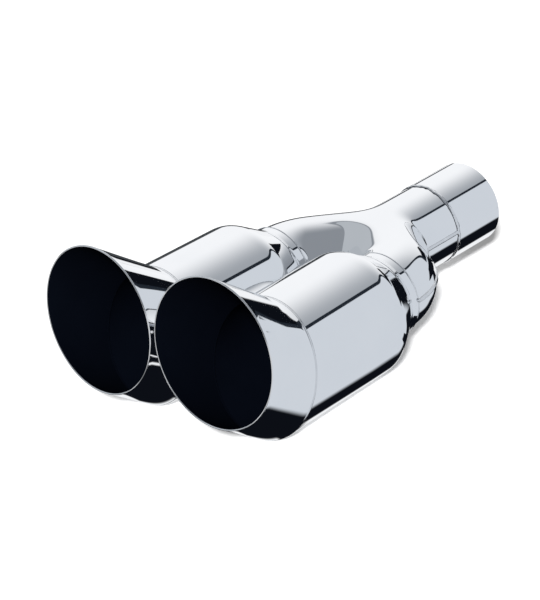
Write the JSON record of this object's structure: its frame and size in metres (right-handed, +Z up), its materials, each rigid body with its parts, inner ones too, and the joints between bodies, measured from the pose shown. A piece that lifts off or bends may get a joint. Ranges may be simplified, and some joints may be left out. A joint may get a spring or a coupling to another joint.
{
  "type": "exhaust tip",
  "caption": "Polished exhaust tip: a slip-on inlet pipe splits through a Y-piece into side-by-side round tips with rounded rear shoulders and flared, upturned outlets.",
  "frame": {"origin": "centre of the inlet pipe's open end, on the axis of its bore", "axes": "+Y out of the inlet towards the tailpipe, so the outlets face -Y; +X towards the right-hand tip as seen from behind the car; +Z up"},
  "size_m": [0.209, 0.3217, 0.1267],
  "materials": {
    "polished_steel": "mirror polish",
    "weld_bead": "polished bead"
  },
  "bodies": {
    "root": {"inlet_pipe": "polished_steel", "y_upper_shell": "polished_steel", "y_lower_shell": "polished_steel", "left_tip_body": "polished_steel", "left_outlet": "polished_steel", "right_tip_body": "polished_steel", "right_outlet": "polished_steel", "inlet_weld": "weld_bead", "left_seam_weld": "weld_bead", "left_collar_weld": "weld_bead", "left_mitre_weld": "weld_bead", "right_seam_weld": "weld_bead", "right_collar_weld": "weld_bead", "right_mitre_weld": "weld_bead"}
  },
  "joints": []
}
